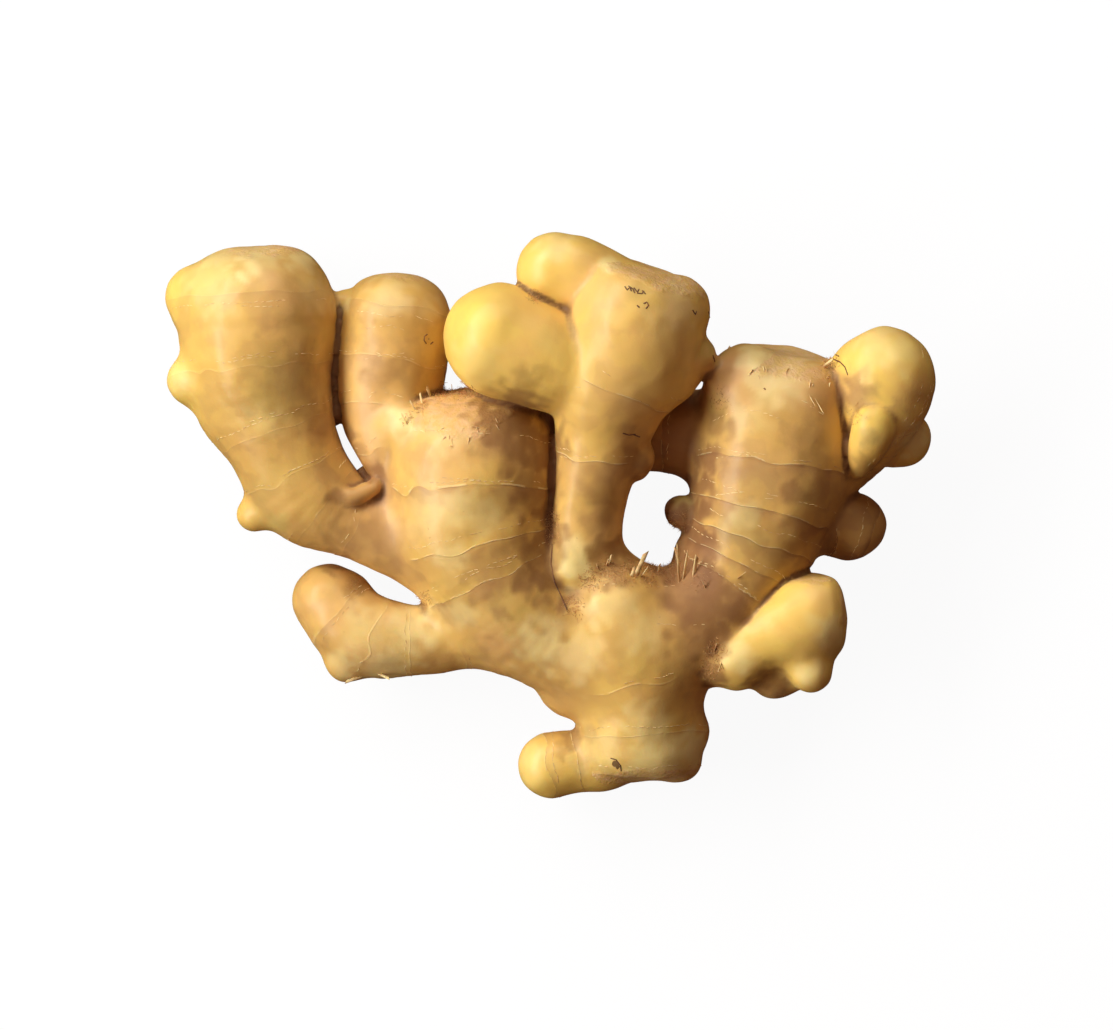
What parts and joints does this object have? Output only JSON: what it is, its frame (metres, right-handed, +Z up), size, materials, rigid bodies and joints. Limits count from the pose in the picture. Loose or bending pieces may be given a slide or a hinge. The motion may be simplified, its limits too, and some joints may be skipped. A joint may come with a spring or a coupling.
{
  "type": "ginger root",
  "caption": "Fresh ginger rhizome lying on its side: a thick body that branches into ringed fingers, round knobs and buds, with one finger raised above the rest.",
  "frame": {"origin": "middle of the footprint's bounding box, on the surface the root rests on", "axes": "+Z up from that surface; +X along the root's longest extent, from the big far-left finger to the right-hand crown; +Y towards the tips of the upright fingers"},
  "size_m": [0.1716, 0.1263, 0.0456],
  "materials": {
    "ginger_skin": null
  },
  "bodies": {
    "root": {"rhizome": "ginger_skin"}
  },
  "joints": []
}
